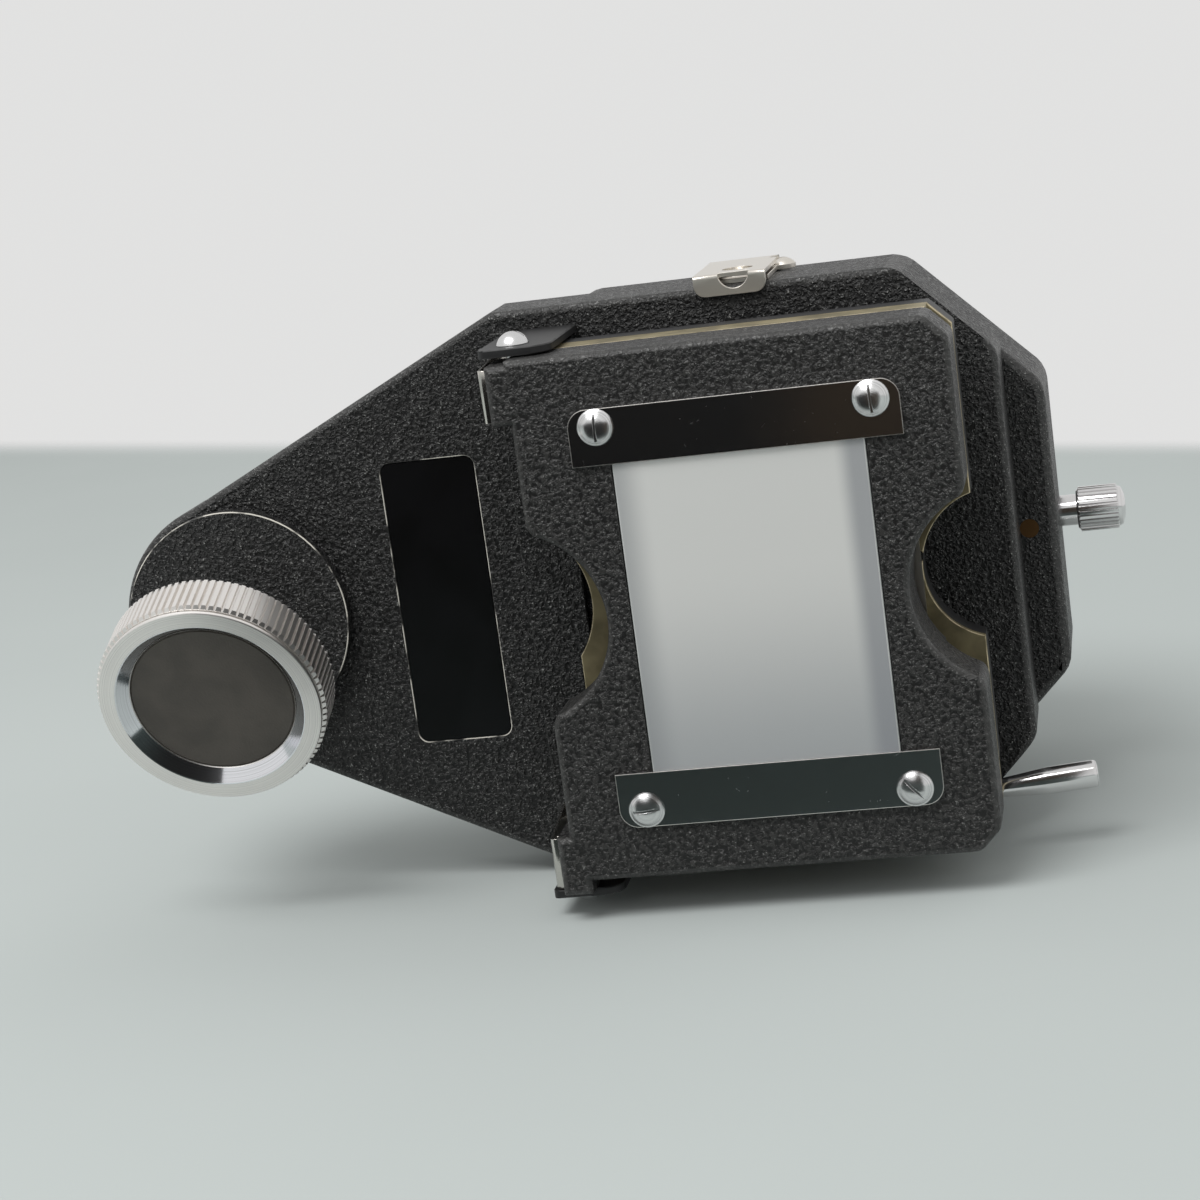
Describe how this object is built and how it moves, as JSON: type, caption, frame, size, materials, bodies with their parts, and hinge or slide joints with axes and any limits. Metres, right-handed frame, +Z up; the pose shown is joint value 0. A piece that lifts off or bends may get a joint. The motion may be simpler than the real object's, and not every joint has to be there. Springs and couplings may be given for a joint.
{
  "type": "slide_duplicator",
  "caption": "Slide duplicator for a bellows camera: a hinged opal door with bright glass strips, a brass slide tray, a shift housing with bellows and lens ring, and a milled clamp knob.",
  "frame": {"origin": "centre of the rear face of the lens ring's thread, on the optical axis", "axes": "+X to the right seen from the front, +Y backward along the optical axis towards the lens, +Z up along the window's long side"},
  "size_m": [0.1291, 0.0716, 0.075],
  "materials": {
    "crinkle_black": "cast alloy under a pebbled black crinkle paint, lighter where the edges are worn",
    "smooth_black": "smooth satin black paint on sheet and plate",
    "gloss_plate": "gloss black enamel on a thin plate, bare of lettering",
    "matt_black": "matt black anodised, anti-reflection",
    "knob_metal": "turned and milled bright aluminium",
    "knob_inlay": "satin warm grey leatherette disc",
    "chrome": "polished chrome plate",
    "stainless": "bright drawn stainless strip with fine marks",
    "nickel": "nickel plated spring sheet",
    "steel": "plain steel screws and rivets",
    "brass": "aged olive brass sheet, worn bright at its edges",
    "bronze": "dark bronze",
    "opal": "opal diffusing glass, satin face",
    "bellows_cloth": "light-tight black bellows cloth"
  },
  "bodies": {
    "stage": {"main_plate": "crinkle_black", "nameplate": "gloss_plate", "gate_block": "smooth_black", "gate_plate": "smooth_black", "gate_screws": "steel", "slide_tray": "brass", "tray_rivets": "brass", "hinge_bracket": "smooth_black", "bracket_screws": "steel", "detent_spring_upper": "nickel", "detent_spring_lower": "nickel", "spring_rivets": "steel", "housing": "crinkle_black", "housing_screws": "steel", "guide_rail_left": "smooth_black", "guide_rail_right": "smooth_black", "rear_cover": "smooth_black", "cover_screws": "steel", "friction_pin": "bronze", "side_clip_upper": "nickel", "side_clip_lower": "nickel", "clip_screws": "nickel", "clip_bushes": "steel", "clip_tab_screws": "nickel", "lever_pin": "steel"},
    "lever": {"lever": "chrome"},
    "door": {"door_frame": "crinkle_black", "opal_glass": "opal", "glass_strip_upper": "stainless", "glass_strip_lower": "stainless", "strip_screws": "chrome", "pressure_frame": "smooth_black", "pressure_springs": "nickel", "pressure_rivets": "steel", "hinge_pivot_screws": "chrome"},
    "knob_cradle": {"boss_washer": "steel"},
    "knob_carrier": {"captive_washer": "steel"},
    "knob": {"clamp_screw": "steel", "clamp_knob": "knob_metal", "knob_disc": "knob_inlay", "knob_screw": "steel"},
    "shift": {"shift_frame": "smooth_black", "bellows": "bellows_cloth"},
    "lens_ring": {"lens_ring": "matt_black"},
    "lock": {"lock_slug": "brass"},
    "thumb_screw": {"thumb_screw": "chrome"}
  },
  "joints": [
    {"name": "door_swing", "type": "hinge", "parent": "stage", "child": "door", "pos_m": [-0.0263, -0.063, 0], "axis": [0, 0, -1], "range_deg": [0, 100], "deforming": ["detent_spring_upper", "detent_spring_lower"]},
    {"name": "lever_swing", "type": "hinge", "parent": "stage", "child": "lever", "pos_m": [0.02, -0.05495, -0.0292], "axis": [0, -1, 0], "range_deg": [0, 25]},
    {"name": "knob_droop", "type": "hinge", "parent": "stage", "child": "knob_cradle", "pos_m": [-0.0702, -0.0485, 0], "axis": [-1, 0, 0], "range_deg": [0, 21]},
    {"name": "knob_feed", "type": "slide", "parent": "knob_cradle", "child": "knob_carrier", "axis": [0, 0.9336, 0.3584], "range_m": [0, 0.0038]},
    {"name": "knob_turn", "type": "hinge", "parent": "knob_carrier", "child": "knob", "pos_m": [-0.0702, -0.0485, 0], "axis": [0, 0.9336, 0.3584], "range_deg": [0, 1370]},
    {"name": "frame_shift", "type": "slide", "parent": "stage", "child": "shift", "axis": [0, 0, 1], "range_m": [-0.004, 0.004]},
    {"name": "bellows_extend", "type": "slide", "parent": "shift", "child": "lens_ring", "axis": [0, 1, 0], "range_m": [-0.01, 0.02], "deforming": ["bellows"]},
    {"name": "lock_feed", "type": "slide", "parent": "stage", "child": "lock", "axis": [1, 0, 0], "range_m": [0, 0.0014]},
    {"name": "lock_turn", "type": "hinge", "parent": "lock", "child": "thumb_screw", "pos_m": [0.035, -0.029, 0], "axis": [1, 0, 0], "range_deg": [0, 722]}
  ],
  "couplings": [
    {"joint": "knob_turn", "follows": "knob_feed", "rad_per_m": 6283.2},
    {"joint": "lock_turn", "follows": "lock_feed", "rad_per_m": 8976}
  ]
}
